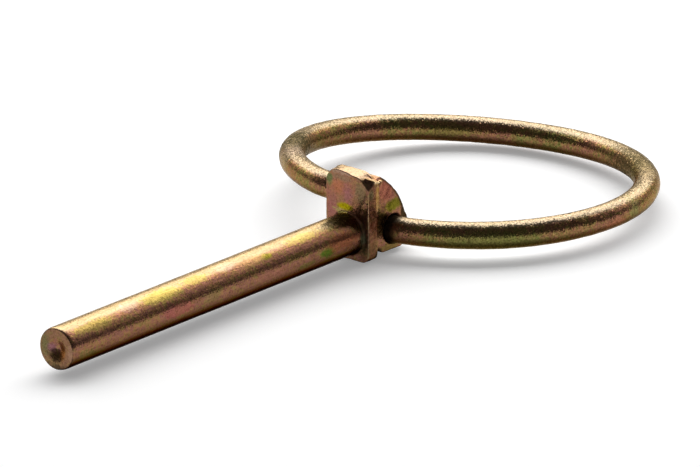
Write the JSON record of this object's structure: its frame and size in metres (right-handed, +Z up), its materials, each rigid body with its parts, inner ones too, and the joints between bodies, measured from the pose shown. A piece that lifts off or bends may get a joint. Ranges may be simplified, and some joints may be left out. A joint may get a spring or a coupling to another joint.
{
  "type": "lynch pin",
  "caption": "Steel lynch pin: a round shank with an upright head and a sprung split ring that swings over to lock it.",
  "frame": {"origin": "on the shank's axis at the shoulder, the front face of the head, where the shank leaves it", "axes": "+X along the shank towards its tip, +Y along the ring's hinge, +Z up, the way the head stands"},
  "size_m": [0.0871, 0.0406, 0.0095],
  "materials": {
    "pin_plating": "zinc plated with a yellow, iridescent passivate, satin, mottled pink and green",
    "ring_plating": "zinc plated with a yellow, iridescent passivate, fine pebbled satin"
  },
  "bodies": {
    "pin": {"pin": "pin_plating"},
    "ring": {"ring": "ring_plating"}
  },
  "joints": [
    {"name": "ring_hinge", "type": "hinge", "parent": "pin", "child": "ring", "pos_m": [-0.0045, 0, -0.00013], "axis": [0, 1, 0], "range_deg": [0, 174]}
  ]
}
